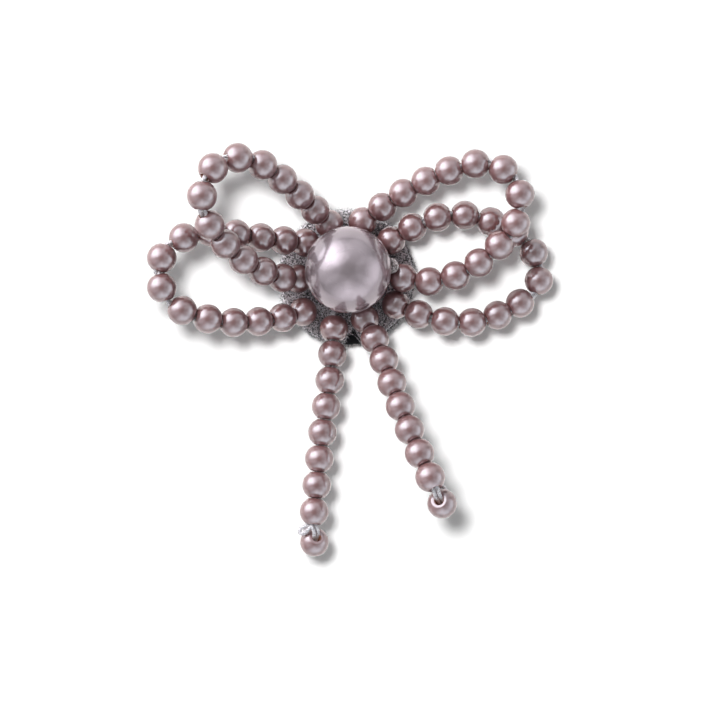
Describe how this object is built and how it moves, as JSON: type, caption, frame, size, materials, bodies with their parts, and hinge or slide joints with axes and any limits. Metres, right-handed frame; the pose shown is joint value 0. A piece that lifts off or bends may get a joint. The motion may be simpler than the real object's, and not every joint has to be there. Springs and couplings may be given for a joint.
{
  "type": "bow brooch",
  "caption": "Brooch in the form of a bow: strings of pearl beads in loops and hanging tails on a round felt disc, a large pearl as the knot, and a bar pin behind.",
  "frame": {"origin": "middle of the bounding box's bottom face, on the surface that the brooch pin lies on", "axes": "+Z out of the brooch's front, +Y towards the top of the bow with the tails towards -Y, +X to the right as seen from the front"},
  "size_m": [0.0836, 0.0844, 0.0344],
  "materials": {
    "small_pearl": "pearl lacquer, dusty mauve",
    "large_pearl": "pearl lacquer, silvery lavender",
    "silver_cord": "twisted cord with metallic threads",
    "felt": "flecked fibrous felt",
    "backing": "matte black",
    "pin_metal": "nickel-plated steel"
  },
  "bodies": {
    "root": {"big_pearl": "large_pearl", "pearl_cord": "silver_cord", "felt_disc": "felt", "backing_disc": "backing", "bar_pin": "pin_metal", "upper_left_loop_beads": "small_pearl", "lower_left_loop_beads": "small_pearl", "upper_right_loop_beads": "small_pearl", "lower_right_loop_beads": "small_pearl", "left_tail_beads": "small_pearl", "right_tail_beads": "small_pearl", "left_end_bead": "small_pearl", "right_end_bead": "small_pearl", "upper_left_loop_thread": "silver_cord", "lower_left_loop_thread": "silver_cord", "upper_right_loop_thread": "silver_cord", "lower_right_loop_thread": "silver_cord", "left_tail_thread": "silver_cord", "right_tail_thread": "silver_cord"}
  },
  "joints": []
}
